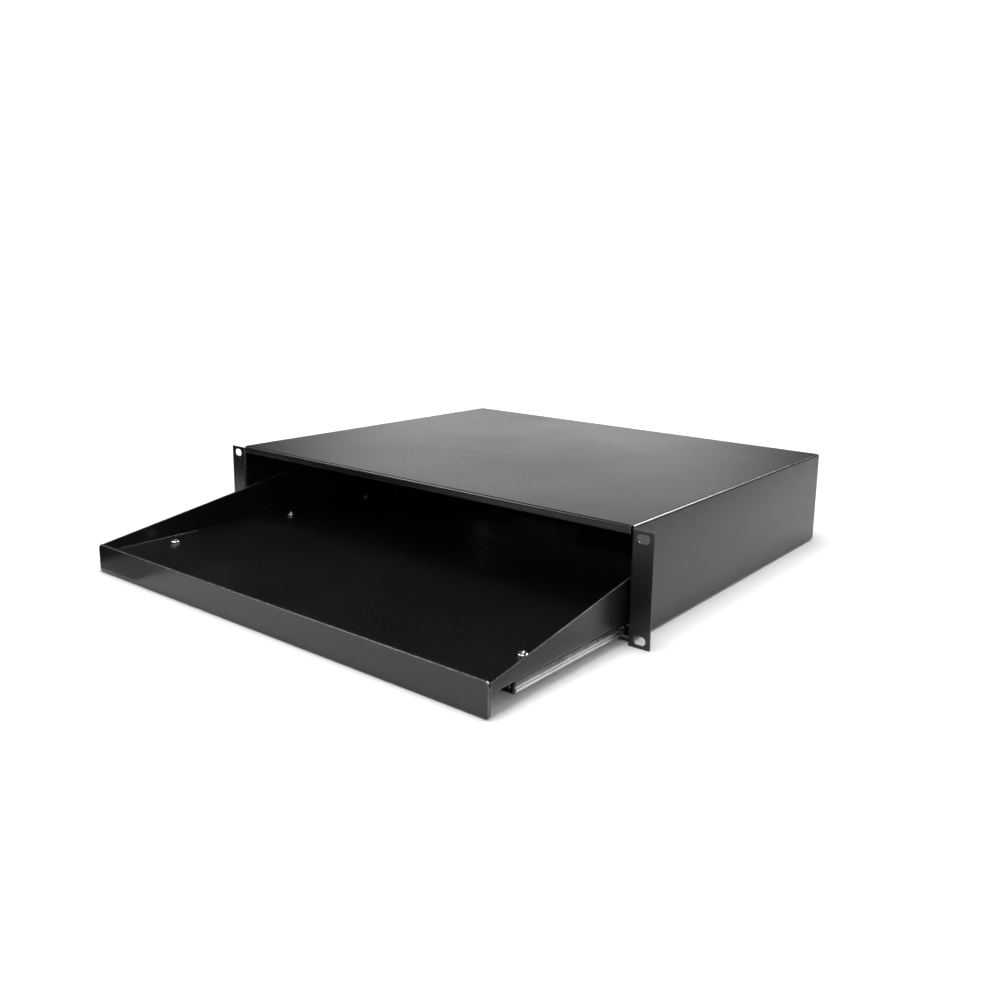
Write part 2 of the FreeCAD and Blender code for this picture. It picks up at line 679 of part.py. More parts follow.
def make_cage(kind, side, sign, row, under, out):
    """Ball retainer: two perforated sides joined by a bridge at each end."""
    body = new_body("%s_cage_%s" % (kind, side))
    half = add(row, "Sizes.cage_sheet / 2")
    inner = less(row, "Sizes.cage_sheet / 2")
    low = add(under, "Sizes.cage_clear")
    web = add(low, "Sizes.cage_sheet")
    top = add(FLOOR, "Sizes.cage_high")
    front = add(RAIL_BACK, "Sizes.cage_start")
    back = add(front, "Sizes.cage_long")

    def section(sketch):
        polygon(sketch, (
            (minus(half), low), (half, low), (half, top), (inner, top), (inner, web),
            (minus(inner), web), (minus(inner), top), (minus(half), top)))
    pad(body, "XZ_Plane", "channel", section, front, back)

    def window(sketch):
        rectangle(sketch, minus(inner), add(front, "Sizes.cage_end"),
                  inner, less(back, "Sizes.cage_end"))
    pocket(body, "XY_Plane", "window", window, low, web)

    reach = add(BALL_RADIUS, "Sizes.window_play")

    def ball_windows(sketch):
        middle = add(FLOOR, "Sizes.ball_high")
        for index in range(BALLS):
            place = ball_place(index)
            rectangle(sketch, less(place, reach), less(middle, reach),
                      add(place, reach), add(middle, reach))
    pocket(body, "YZ_Plane", "ball_windows", ball_windows, minus(half), half)
    settle(body, "%s_cage_%s" % (kind, side), signed(sign, RAIL_MIDDLE), out)

    balls = []
    for index in range(BALLS):
        for name, at in (("a", minus(row)), ("b", row)):
            balls.append(ball("%s_ball_%s_%d%s" % (kind, side, index + 1, name),
                              at, ball_place(index)))
    grouped("%s_balls_%s" % (kind, side), balls, signed(sign, RAIL_MIDDLE), out)


def ball(name, across, along):
    """Faceted ball: flat facets keep the many hidden balls light."""
    radius = number(BALL_RADIUS)
    turn = 2 * math.pi / BALL_MERIDIANS
    rings = []
    for band in range(1, BALL_BANDS):
        tilt = math.pi * band / BALL_BANDS
        ring = [FreeCAD.Vector(radius * math.sin(tilt) * math.cos(turn * step),
                               radius * math.sin(tilt) * math.sin(turn * step),
                               radius * math.cos(tilt)) for step in range(BALL_MERIDIANS)]
        rings.append(ring)
    north = FreeCAD.Vector(0, 0, radius)
    facets = []
    for step in range(BALL_MERIDIANS):
        after = (step + 1) % BALL_MERIDIANS
        facets.append((north, rings[0][step], rings[0][after]))
        facets.append((north * -1, rings[-1][after], rings[-1][step]))
        for upper, lower in zip(rings, rings[1:]):
            facets.append((upper[step], lower[step], lower[after], upper[after]))
    faces = [Part.Face(Part.makePolygon(list(corners) + [corners[0]])) for corners in facets]
    item = doc.addObject("Part::Feature", name)
    item.Shape = Part.makeSolid(Part.makeShell(faces))
    item.setExpression(".Placement.Base.x", across)
    item.setExpression(".Placement.Base.y", along)
    item.setExpression(".Placement.Base.z", add(FLOOR, "Sizes.ball_high"))
    return item


def ball_place(index):
    """Distance of a pair of balls behind the ears' front, drawer shut."""
    return add(RAIL_BACK, "Sizes.cage_start", "Sizes.ball_first",
               "%d * Sizes.ball_pitch" % index)


def make_slide(side, sign):
    make_fixed_rail(side, sign)
    make_rail_screws(side, sign)
    make_buffer(side, sign)
    make_middle_rail(side, sign)
    make_drawer_rail(side, sign)
    make_tray_screws(side, sign)
    make_cage("outer", side, sign, OUTER_ROW, add(FLOOR, "Sizes.rail_sheet"),
              "(Sizes.middle_out / 2)")
    make_cage("inner", side, sign, INNER_ROW,
              add(FLOOR, "Sizes.middle_low", "Sizes.middle_web"),
              "((Sizes.tray_out + Sizes.middle_out) / 2)")


# ---------------------------------------------------------------- tray

def make_tray():
    body = new_body("tray_pan")
    inside = less(HALF_TRAY, "Sizes.sheet")
    face = "Sizes.fascia_thick"
    flange_back = add(face, "Sizes.sheet")
    front = add(face, FOLD_LONG)
    back = less("Sizes.tray_deep", FOLD_LONG)
    fold_end = less(HALF_TRAY, OUTER_BEND, "Sizes.fit")

    def section(sketch):
        polygon(sketch, (
            (minus(HALF_TRAY), TRAY_FLOOR), (HALF_TRAY, TRAY_FLOOR),
            (HALF_TRAY, "Sizes.wall_tall"), (inside, "Sizes.wall_tall"),
            (inside, TRAY_TOP), (minus(inside), TRAY_TOP),
            (minus(inside), "Sizes.wall_tall"), (minus(HALF_TRAY), "Sizes.wall_tall")))
    pad(body, "XZ_Plane", "pan", section, face, back)
    fillet(body, "outer_folds", 1, both_sides(HALF_TRAY, TRAY_FLOOR), OUTER_BEND)
    fillet(body, "inner_folds", 1, both_sides(inside, TRAY_TOP), "Sizes.bend")

    def floor_front(sketch):
        rectangle(sketch, minus(less(HALF_TRAY, OUTER_BEND)), "0",
                  less(HALF_TRAY, OUTER_BEND), front)
    pocket(body, "XY_Plane", "floor_front", floor_front, TRAY_FLOOR, TRAY_TOP)

    rise = "(Sizes.wall_tall - Sizes.wall_front_tall)"
    level_from = add(face, "%s / tan(Sizes.wall_slope * 1 deg)" % rise)

    def rake(sketch):
        polygon(sketch, ((face, "Sizes.wall_front_tall"),
                         (level_from, "Sizes.wall_tall"),
                         (face, "Sizes.wall_tall")))
    pocket(body, "YZ_Plane", "raked_walls", rake, minus(HALF_TRAY), HALF_TRAY)

    def front_flange(sketch):
        flange_low = less(TRAY_FLOOR, "Sizes.tray_flange_tall")
        polygon(sketch, (
            (face, flange_low), (flange_back, flange_low), (flange_back, TRAY_FLOOR),
            (front, TRAY_FLOOR), (front, TRAY_TOP), (face, TRAY_TOP)))
    pad(body, "YZ_Plane", "front_flange", front_flange, minus(fold_end), fold_end)
    fillet(body, "front_fold_inner", 0, [(flange_back, TRAY_FLOOR)], "Sizes.bend")
    fillet(body, "front_fold_outer", 0, [(face, TRAY_TOP)], OUTER_BEND)

    rear_face = less("Sizes.tray_deep", "Sizes.sheet")

    def rear_wall(sketch):
        polygon(sketch, (
            (back, TRAY_FLOOR), ("Sizes.tray_deep", TRAY_FLOOR),
            ("Sizes.tray_deep", "Sizes.tray_rear_tall"), (rear_face, "Sizes.tray_rear_tall"),
            (rear_face, TRAY_TOP), (back, TRAY_TOP)))
    pad(body, "YZ_Plane", "rear_wall", rear_wall, minus(fold_end), fold_end)
    fillet(body, "rear_fold_inner", 0, [(rear_face, TRAY_TOP)], "Sizes.bend")
    fillet(body, "rear_fold_outer", 0, [("Sizes.tray_deep", TRAY_FLOOR)], OUTER_BEND)

    notch_low = less("Sizes.tray_rear_tall", "Sizes.notch_tall")

    def notch(sketch):
        rectangle(sketch, "(0 - Sizes.notch_wide / 2)", notch_low,
                  "(Sizes.notch_wide / 2)", "Sizes.tray_rear_tall")
    pocket(body, "XZ_Plane", "cable_notch", notch, rear_face, "Sizes.tray_deep")
    fillet(body, "notch_corners", 1, both_sides("(Sizes.notch_wide / 2)", notch_low),
           "Sizes.notch_round")

    def holes(sketch):
        for side, sign in SIDES:
            for along in TRAY_HOLES:
                circle(sketch, signed(sign, RAIL_MIDDLE), along, SHANK_HOLE)
    pocket(body, "XY_Plane", "holes", holes, TRAY_FLOOR, TRAY_TOP)
    settle(body, "tray_pan", out="Sizes.tray_out")


def make_fascia():
    """Plate with rounded corners and eased front edges, fixed to the tray's front flange."""
    body = new_body("front_fascia")

    def outline(sketch):
        rectangle(sketch, minus(HALF_TRAY), "Sizes.fascia_low", HALF_TRAY, "Sizes.fascia_top")
    pad(body, "XZ_Plane", "plate", outline, "0", "Sizes.fascia_thick")
    fillet(body, "upper_corners", 1, both_sides(HALF_TRAY, "Sizes.fascia_top"),
           "Sizes.fascia_round_top")
    fillet(body, "lower_corners", 1, both_sides(HALF_TRAY, "Sizes.fascia_low"),
           "Sizes.fascia_round_low")
    chamfer(body, "front_edges", 0, [("0", "Sizes.fascia_top")], "Sizes.fascia_edge")
    settle(body, "front_fascia", out="Sizes.tray_out")


# ---------------------------------------------------------------- build

def sub_parts():
    """Finished pieces: bodies and groups, each with a file of its own."""
    return [item for item in doc.Objects
            if item.TypeId in ("PartDesign::Body", "Part::Compound")]


def write_steps():
    os.makedirs("parts", exist_ok=True)
    for item in doc.Objects:
        if "Invalid" in item.State or "Error" in item.State:
            raise RuntimeError("%s failed: %s" % (item.Name, item.State))
    for item in sub_parts():
        if item.Shape.isNull() or not item.Shape.isValid():
            raise RuntimeError("%s has no valid shape" % item.Label)
    for item in sub_parts():
        item.Shape.exportStep("parts/%s.step" % item.Label)
        box = item.Shape.BoundBox
        print("%-22s solids %2d  volume %10.1f  x %7.1f %7.1f  y %7.1f %7.1f  z %6.1f %6.1f" % (
            item.Label, len(item.Shape.Solids), item.Shape.Volume,
            box.XMin, box.XMax, box.YMin, box.YMax, box.ZMin, box.ZMax))


make_cover()
make_base()
make_rear()
for side_name, side_sign in SIDES:
    make_slide(side_name, side_sign)
make_tray()
make_fascia()
doc.recompute()
write_steps()
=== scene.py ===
import json
import math

import bmesh
import bpy
from mathutils import Matrix, Vector


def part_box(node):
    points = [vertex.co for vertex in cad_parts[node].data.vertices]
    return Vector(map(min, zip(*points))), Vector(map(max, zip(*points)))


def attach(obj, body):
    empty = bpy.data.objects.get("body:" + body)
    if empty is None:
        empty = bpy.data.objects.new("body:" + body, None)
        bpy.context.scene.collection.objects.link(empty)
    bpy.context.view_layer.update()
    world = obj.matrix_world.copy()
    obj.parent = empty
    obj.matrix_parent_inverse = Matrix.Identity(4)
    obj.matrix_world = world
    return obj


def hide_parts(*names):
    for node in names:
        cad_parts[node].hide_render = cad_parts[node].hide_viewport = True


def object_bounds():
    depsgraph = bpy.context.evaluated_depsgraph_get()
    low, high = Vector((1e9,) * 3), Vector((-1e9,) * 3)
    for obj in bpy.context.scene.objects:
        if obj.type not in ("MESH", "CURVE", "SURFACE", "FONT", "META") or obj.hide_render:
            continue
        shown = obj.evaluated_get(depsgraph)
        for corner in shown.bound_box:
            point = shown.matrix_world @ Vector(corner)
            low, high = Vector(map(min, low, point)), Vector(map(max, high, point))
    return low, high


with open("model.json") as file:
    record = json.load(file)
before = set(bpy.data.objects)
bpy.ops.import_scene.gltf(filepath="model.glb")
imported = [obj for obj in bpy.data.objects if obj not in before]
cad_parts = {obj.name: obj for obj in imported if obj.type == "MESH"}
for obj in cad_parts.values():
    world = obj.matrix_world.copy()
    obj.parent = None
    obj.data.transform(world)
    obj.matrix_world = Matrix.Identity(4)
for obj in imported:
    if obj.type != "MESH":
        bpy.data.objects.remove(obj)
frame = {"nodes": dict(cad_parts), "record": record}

CAD_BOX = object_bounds()
MM = 0.001
NODES = frame["nodes"]
SCENE = bpy.context.scene
SLOT_OF = {row["node"]: row["material_slot"] for row in frame["record"]["subparts"]}
SIDES = ("left", "right")

# Viewpoint: to the right of the front, a little above the case
CAMERA_PLACE = Vector((554.8, -560.6, 224.05)) * MM
CAMERA_AZIMUTH = math.radians(36.21)
CAMERA_PITCH = math.radians(11.45)
CAMERA_ROLL = math.radians(1.37)
CAMERA_LENS = 33.98
CAMERA_SHIFT = (-0.0458, -0.0407)

# Rounded edges, and how much lighter their colour is painted: partly coating worn off them, partly a
# painted highlight along them
SHARP = math.radians(28)
WELD = 0.03 * MM
CROWDED = 0.35 * MM
SHEET_EDGE = 0.25 * MM
TRAY_EDGE = 0.35 * MM
RAIL_EDGE = 0.15 * MM
MIDDLE_RAIL_EDGE = 0.4 * MM
PLASTIC_EDGE = 0.4 * MM
FASCIA_EDGE = 0.7 * MM
EDGE_SEGMENTS = 2
FASCIA_EDGE_SEGMENTS = 4
FULL_WEAR_AND_HIGHLIGHT = 1.0
CASE_WEAR_AND_HIGHLIGHT = 0.7
FASCIA_WEAR_AND_HIGHLIGHT = 0.8

# Fascia corners
FASCIA_TOP_ROUND = 4.5 * MM
FASCIA_LOW_ROUND = 3.0 * MM
CORNER_STEPS = 8

# Screws and balls; the taper, mouth and foot are scales, and the turns are in degrees
SCREW_SIDES = 40
CREASE = math.radians(40)
SHANK_RADIUS = 1.95 * MM
THREAD_PITCH = 0.7 * MM
THREAD_DEEP = 0.38 * MM
CREST_START = 0.42 * THREAD_PITCH
CREST_END = 0.58 * THREAD_PITCH
TIP_TALL = 0.2 * MM
TIP_TAPER = 0.8
NECK_TALL = 0.1 * MM
PAN_HEAD_TALL = 2.4 * MM
PAN_SIDE_TALL = 0.8 * MM
PAN_SEAT_EASE = 0.15 * MM
PAN_DOME_POWER = 0.55
PAN_DOME_STEPS = 10
COUNTERSINK_TALL = 1.2 * MM
RIM_TALL = 0.08 * MM
RIM_WIDE = 0.1 * MM
RECESS_WING = 2.1 * MM
RECESS_WALL = 0.5 * MM
RECESS_ABOVE = 0.5 * MM
RECESS_MOUTH = 1.15
RECESS_FOOT = 0.45
PAN_RECESS_DEEP = 1.5 * MM
COUNTERSUNK_RECESS_DEEP = 0.9 * MM
FIRST_SCREW_TURN = 25
SCREW_TURN_STEP = 55
BALL_SEGMENTS = 20

# Slide members
RAIL_SHEET = 1.2 * MM
TRACK_HALF = 1.1 * MM
SIDE_LEAN = math.tan(math.radians(21.5))
NOSE_SETBACK = 1.0 * MM
CUT_MARGIN = 1.0 * MM

# Colours of the coating and the zinc
COAT_DARK = (0.0028, 0.0028, 0.0029)
COAT_LIGHT = (0.0052, 0.0051, 0.0050)
COAT_SPECK = (0.016, 0.016, 0.015)
# Edge colour of the coating: partly coating worn thin, partly a painted highlight along the edges
COAT_WORN_AND_HIGHLIT = (0.17, 0.167, 0.163)
COAT_EDGE_POLISH = 0.06
ZINC_DARK = (0.56, 0.575, 0.59)
ZINC_LIGHT = (0.72, 0.72, 0.705)
ZINC_DRAWN = (0.42, 0.42, 0.42)
# Edge colour of the zinc: partly wear, partly a painted highlight along the edges
ZINC_WORN_AND_HIGHLIT = (0.8, 0.8, 0.8)
GRAIN_GLOSS = 0.06
CLOUDS_PER_GRAIN = 1 / 12

# Floor, in metres: it glows more and more from the ring's inner radius to its outer one
FLOOR_HALF = 6.0
FLOOR_SHADE = 0.98
GLOW_RING = (0.45, 1.3)
FLOOR_GLOW = 0.6

# Surround: angles are in degrees, and each pair is where a change starts and where it is full
WHITE_STRENGTH = 1.05
DIFFUSE_DIMMING = 0.4
AMBIENT_STRENGTH = 0.17
BACKDROP_STRENGTH = 1.65
BACKDROP_AZIMUTH = 37
BACKDROP_SIDEWAYS = (19, 5)
BACKDROP_UPWARDS = (23, 9)
DARK_AZIMUTH = 62
DARK_ELEVATION = 50
DARK_ACROSS = (72, 42)

# Flags that lie just above the floor
FLAG_HEIGHT = -42.0 * MM
SIDE_FLAG_HEIGHT = -42.5 * MM
FLAGS_FRONT = -2.4
TRAY_FLAGS_BACK = -0.158
BELOW = -1.0

# Light from above
OVERHEAD_SIZE = 0.8
OVERHEAD_WATTS = 23


# ---------------------------------------------------------------- shader nodes

def new_material(name):
    material = bpy.data.materials.new(name)
    material.use_nodes = True
    return material, material.node_tree.nodes["Principled BSDF"]


def add_node(tree, kind, **values):
    """Node with some of its inputs or properties set."""
    node = tree.nodes.new(kind)
    for key, value in values.items():
        if key in node.inputs:
            node.inputs[key].default_value = value
        else:
            setattr(node, key, value)
    return node


def noise(tree, scale, detail, stretch=(1, 1, 1)):
    """Noise in the object's own metres; stretch squeezes it along an axis."""
    place = add_node(tree, "ShaderNodeTexCoord")
    mapping = add_node(tree, "ShaderNodeMapping", Scale=stretch)
    texture = add_node(tree, "ShaderNodeTexNoise", Scale=scale, Detail=detail)
    tree.links.new(place.outputs["Object"], mapping.inputs["Vector"])
    tree.links.new(mapping.outputs["Vector"], texture.inputs["Vector"])
    return texture.outputs["Fac"]


def remap(tree, value, low, high, start=0.3, end=0.7, interpolation="LINEAR"):
    """Stretches start..end of a value to low..high."""
    node = add_node(tree, "ShaderNodeMapRange", interpolation_type=interpolation)
    for name, number in (("From Min", start), ("From Max", end), ("To Min", low), ("To Max", high)):
        node.inputs[name].default_value = number
    tree.links.new(value, node.inputs["Value"])
    return node.outputs["Result"]


def fade(tree, value, start, end):
    """0 at start, changing smoothly to 1 at end."""
    return remap(tree, value, 0, 1, start, end, "SMOOTHSTEP")


def arithmetic(tree, operation, first, second):
    """Each operand is a number or a socket."""
    node = add_node(tree, "ShaderNodeMath", operation=operation)
    for socket, value in zip(node.inputs, (first, second)):
        if isinstance(value, (int, float)):
            socket.default_value = value
        else:
            tree.links.new(value, socket)
    return node.outputs["Value"]


def mix_colours(tree, factor, first, second):
    """Each colour is three numbers or a socket."""
    node = add_node(tree, "ShaderNodeMix", data_type="RGBA")
    for socket, colour in ((node.inputs["A"], first), (node.inputs["B"], second)):
        if isinstance(colour, tuple):
            socket.default_value = (*colour, 1)
        else:
            tree.links.new(colour, socket)
    tree.links.new(factor, node.inputs["Factor"])
    return node.outputs["Result"]


def bumps(tree, shader, layers):
    """Stacks height layers, each (height, depth in metres)."""
    normal = None
    for height, depth in layers:
        bump = add_node(tree, "ShaderNodeBump", Distance=depth, Strength=1.0)
        tree.links.new(height, bump.inputs["Height"])
        if normal is not None:
            tree.links.new(normal, bump.inputs["Normal"])
        normal = bump.outputs["Normal"]
    tree.links.new(normal, shader.inputs["Normal"])


# ---------------------------------------------------------------- finishes

def edge_wear_and_highlight_mask(tree):
    """How much lighter break_edges() made the face, for worn coating and a painted edge highlight, broken
    up by noise; 0 away from the edges.
    """
    edge = add_node(tree, "ShaderNodeAttribute", attribute_name="edge_wear_and_highlight")
    patches = remap(tree, noise(tree, scale=260.0, detail=4.0), low=0.15, high=1.0)
    return arithmetic(tree, "MULTIPLY", edge.outputs["Fac"], patches)


def powder_coat():
    """Satin black powder coat: orange peel, fine grain, cloudy gloss, and edges painted lighter, partly
    as coating thin there, partly as a painted highlight.
    """
    material, shader = new_material("black powder coat")
    tree = material.node_tree
    cloud = noise(tree, scale=7.0, detail=4.0)
    grain = noise(tree, scale=1900.0, detail=3.0)
    peel = noise(tree, scale=520.0, detail=1.5)
    specks = remap(tree, noise(tree, scale=820.0, detail=1.0), low=0, high=1, start=0.735, end=0.79)
    edge = edge_wear_and_highlight_mask(tree)
    shade = mix_colours(tree, remap(tree, cloud, 0, 1), COAT_DARK, COAT_LIGHT)
    shade = mix_colours(tree, specks, shade, COAT_SPECK)
    # Edges painted lighter: worn coating and a painted edge highlight
    shade = mix_colours(tree, edge, shade, COAT_WORN_AND_HIGHLIT)
    tree.links.new(shade, shader.inputs["Base Color"])
    cloudy = remap(tree, cloud, low=0.25, high=0.30)
    gloss = arithmetic(tree, "ADD", cloudy, remap(tree, grain, low=-0.03, high=0.03))
    polish = arithmetic(tree, "MULTIPLY", edge, COAT_EDGE_POLISH)
    tree.links.new(arithmetic(tree, "SUBTRACT", gloss, polish), shader.inputs["Roughness"])
    bumps(tree, shader, [(peel, 0.012 * MM), (grain, 0.006 * MM)])
    return material


def zinc():
    """Bright zinc on drawn steel: draw lines along the slide, faint clouds, duller patches."""
    material, shader = new_material("bright zinc")
    tree = material.node_tree
    shader.inputs["Metallic"].default_value = 1.0
    lines = noise(tree, scale=1500.0, detail=3.0, stretch=(1, 0.006, 1))
    cloud = noise(tree, scale=45.0, detail=4.0)
    shade = mix_colours(tree, remap(tree, cloud, 0, 1), ZINC_DARK, ZINC_LIGHT)
    shade = mix_colours(tree, remap(tree, lines, low=0, high=0.35), shade, ZINC_DRAWN)
    # Edges painted lighter: wear and a painted edge highlight
    shade = mix_colours(tree, edge_wear_and_highlight_mask(tree), shade, ZINC_WORN_AND_HIGHLIT)
    tree.links.new(shade, shader.inputs["Base Color"])
    dull = remap(tree, cloud, low=0, high=0.08)
    gloss = arithmetic(tree, "ADD", remap(tree, lines, low=0.16, high=0.26), dull)
    tree.links.new(gloss, shader.inputs["Roughness"])
    bumps(tree, shader, [(lines, 0.008 * MM)])
    return material


def grained(name, dark, light, rough, metallic, scale, depth):
    """A finish with one grain that shows in its colour, gloss and surface."""
    material, shader = new_material(name)
    tree = material.node_tree
    shader.inputs["Metallic"].default_value = metallic
    grain = noise(tree, scale, detail=4.0)
    cloud = noise(tree, scale * CLOUDS_PER_GRAIN, detail=3.0)
    shade = mix_colours(tree, remap(tree, grain, 0, 1), dark, light)
    shade = mix_colours(tree, remap(tree, cloud, low=0, high=0.4), shade, dark)
    # Edges painted lighter: wear and a painted edge highlight
    tree.links.new(mix_colours(tree, edge_wear_and_highlight_mask(tree), shade, light), shader.inputs["Base Color"])
    gloss = remap(tree, grain, low=rough - GRAIN_GLOSS, high=rough + GRAIN_GLOSS)
    tree.links.new(gloss, shader.inputs["Roughness"])
    bumps(tree, shader, [(grain, depth)])
    return material


MATERIALS = {
    "black_powder_coat": powder_coat(),
    "zinc_steel": zinc(),
    "screw_steel": grained("screw steel", dark=(0.50, 0.50, 0.49), light=(0.74, 0.74, 0.73),
                           rough=0.24, metallic=1.0, scale=900.0, depth=0.006 * MM),
    "buffer_rubber": grained("rubber", dark=(0.012, 0.012, 0.012), light=(0.030, 0.030, 0.029),
                             rough=0.68, metallic=0.0, scale=1400.0, depth=0.02 * MM),
    "trim_plastic": grained("plastic", dark=(0.011, 0.011, 0.012), light=(0.024, 0.024, 0.025),
                            rough=0.40, metallic=0.0, scale=1800.0, depth=0.012 * MM),
    "cage_steel": grained("cage steel", dark=(0.44, 0.44, 0.43), light=(0.60, 0.60, 0.59),
                          rough=0.34, metallic=1.0, scale=1100.0, depth=0.006 * MM),
    "ball_steel": grained("ball steel", dark=(0.62, 0.62, 0.62), light=(0.70, 0.70, 0.70),
                          rough=0.10, metallic=1.0, scale=500.0, depth=0.001 * MM),
}


# ---------------------------------------------------------------- mesh helpers

def new_object(name, data):
    item = bpy.data.objects.new(name, data)
    SCENE.collection.objects.link(item)
    return item


def body_of(node):
    """The CAD body that the node belongs to."""
    bodies = frame["record"]["behaviour"]["bodies"]
    return next(body for body, members in bodies.items() if node in members)


def stand_in(name, mesh, node):
    """Shows a mesh in place of a CAD node, with the node's finish and motion."""
    piece = new_object(name, mesh)
    mesh.materials.clear()
    mesh.materials.append(MATERIALS[SLOT_OF[node]])
    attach(piece, body_of(node))
    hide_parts(node)
    return piece


def even_normals(piece):
    """Keeps wide flat faces flat beside their narrow rounded edges."""
    modifier = piece.modifiers.new("even normals", "WEIGHTED_NORMAL")
    modifier.weight = 100
    modifier.keep_sharp = True


def welded(mesh):
    """The mesh for editing, with its corners joined."""
    shape = bmesh.new()
    shape.from_mesh(mesh)
    bmesh.ops.remove_doubles(shape, verts=shape.verts, dist=WELD)
    return shape


def shape_of(node):
    """The node's mesh for editing, with its own shading dropped."""
    mesh = NODES[node].data.copy()
    for name in ("custom_normal", "sharp_edge"):
        if name in mesh.attributes:
            mesh.attributes.remove(mesh.attributes[name])
    shape = welded(mesh)
    bpy.data.meshes.remove(mesh)
    return shape


def break_edges(shape, width, wear_and_highlight, segments=EDGE_SEGMENTS):
    """Rounds the sharp edges and marks the new faces with how much lighter they are painted, for worn
    coating and a painted highlight.

    Corners where more than two sharp edges meet, one of them very short, are left out with all
    their edges, because a rounding as wide as that edge would fold over itself.
    """
    mark = shape.faces.layers.float.new("edge_wear_and_highlight")
    sharp = {edge for edge in shape.edges if edge.calc_face_angle(0) > SHARP}
    crowded = set()
    for vert in shape.verts:
        lengths = [edge.calc_length() for edge in vert.link_edges if edge in sharp]
        if len(lengths) > 2 and min(lengths) < CROWDED:
            crowded.add(vert)
    sharp = [edge for edge in shape.edges if edge in sharp and not crowded.intersection(edge.verts)]
    made = bmesh.ops.bevel(shape, geom=sharp, offset=width, offset_type="OFFSET", segments=segments,
                           profile=0.5, affect="EDGES", clamp_overlap=False)
    for face in made["faces"]:
        face[mark] = wear_and_highlight


def mesh_from(name, shape):
    """Smooth-shaded mesh; the shape is used up."""
    for face in shape.faces:
        face.smooth = True
    mesh = bpy.data.meshes.new(name)
    shape.to_mesh(mesh)
    shape.free()
    return mesh


def soften(node, width, reshape=None, wear_and_highlight=FULL_WEAR_AND_HIGHLIGHT):
    """The node's own form with its sharp edges slightly rounded, as coating and tumbling leave them."""
    shape = shape_of(node)
    if reshape:
        shape = reshape(shape)
    break_edges(shape, width, wear_and_highlight)
    even_normals(stand_in(node + "_finished", mesh_from(node + "_finished", shape), node))


def reach(verts):
    """Lowest and highest corner of the box around some vertices."""
    return (Vector(min(vert.co[axis] for vert in verts) for axis in range(3)),
            Vector(max(vert.co[axis] for vert in verts) for axis in range(3)))


def solid_boxes(node):
    """Box of each separate solid in a node, from front to back; within 0.1 mm counts as one row."""
    shape = shape_of(node)
    waiting = set(shape.verts)
    boxes = []
    while waiting:
        found = [waiting.pop()]
        for vert in found:
            for edge in vert.link_edges:
                other = edge.other_vert(vert)
                if other in waiting:
                    waiting.discard(other)
                    found.append(other)
        boxes.append(reach(found))
    shape.free()
    return sorted(boxes, key=lambda box: (round(box[0].y, 4), box[0].x))


def turned(shape, profile, centre, sides):
    """Revolves (radius, height) points about a vertical axis; the ends lie on the axis."""
    rings = []
    for radius, height in profile:
        count = sides if radius > 0 else 1
        ring = []
        for step in range(count):
            turn = math.tau * step / count
            away = Vector((radius * math.cos(turn), radius * math.sin(turn), height))
            ring.append(shape.verts.new(centre + away))
        rings.append(ring)
    for low, high in zip(rings, rings[1:]):
        for step in range(sides):
            corners = [low[step % len(low)], low[(step + 1) % len(low)],
                       high[(step + 1) % len(high)], high[step % len(high)]]
            shape.faces.new(list(dict.fromkeys(corners)))


def bridge(shape, first, second):
    """Joins two rings of equally many vertices by quads."""
    for step in range(len(first)):
        after = (step + 1) % len(first)
        shape.faces.new((first[step], first[after], second[after], second[step]))


def cut(mesh, cutter):
    """The mesh less the cutter's volume."""
    piece = new_object("blank", mesh)
    tool = new_object("cutter", mesh_from("cutter", cutter))
    modifier = piece.modifiers.new("cut", "BOOLEAN")
    modifier.operation = "DIFFERENCE"
    modifier.object = tool
    modifier.solver = "EXACT"
    bpy.context.view_layer.update()
    result = bpy.data.meshes.new_from_object(piece.evaluated_get(bpy.context.evaluated_depsgraph_get()))
    for item in (piece, tool):
        bpy.data.objects.remove(item)
    return result


# ---------------------------------------------------------------- pieces

def make_fascia():
    """Front plate with rounded corners and eased edges."""
    low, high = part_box("front_fascia")
    corners = [(high.x, high.z, -FASCIA_TOP_ROUND, -FASCIA_TOP_ROUND, 0),
               (low.x, high.z, FASCIA_TOP_ROUND, -FASCIA_TOP_ROUND, 90),
               (low.x, low.z, FASCIA_LOW_ROUND, FASCIA_LOW_ROUND, 180),
               (high.x, low.z, -FASCIA_LOW_ROUND, FASCIA_LOW_ROUND, 270)]
    outline = []
    for x, z, inward, upward, start in corners:
        for step in range(CORNER_STEPS + 1):
            turn = math.radians(start + 90 * step / CORNER_STEPS)
            outline.append((x + inward + abs(inward) * math.cos(turn),
                            z + upward + abs(upward) * math.sin(turn)))
    shape = bmesh.new()
    front = [shape.verts.new((x, low.y, z)) for x, z in outline]
    back = [shape.verts.new((x, high.y, z)) for x, z in outline]
    shape.faces.new(front[::-1])
    shape.faces.new(back)
    bridge(shape, front, back)
    bmesh.ops.recalc_face_normals(shape, faces=shape.faces)
    break_edges(shape, FASCIA_EDGE, FASCIA_WEAR_AND_HIGHLIGHT, FASCIA_EDGE_SEGMENTS)
    even_normals(stand_in("fascia_plate", mesh_from("fascia_plate", shape), "front_fascia"))


def thread(bottom, top):
    """Ridges of a machine thread from its chamfered tip up to the head, as (radius, height) points."""
    root = SHANK_RADIUS - THREAD_DEEP
    points = [(0, bottom), (root * TIP_TAPER, bottom), (root, bottom + TIP_TALL)]
    count = int((top - bottom - 2 * TIP_TALL) / THREAD_PITCH)
    for turn in range(count):
        start = bottom + TIP_TALL + turn * THREAD_PITCH
        points += [(SHANK_RADIUS, start + CREST_START), (SHANK_RADIUS, start + CREST_END),
                   (root, start + THREAD_PITCH)]
    return points + [(SHANK_RADIUS, top - NECK_TALL), (SHANK_RADIUS, top)]


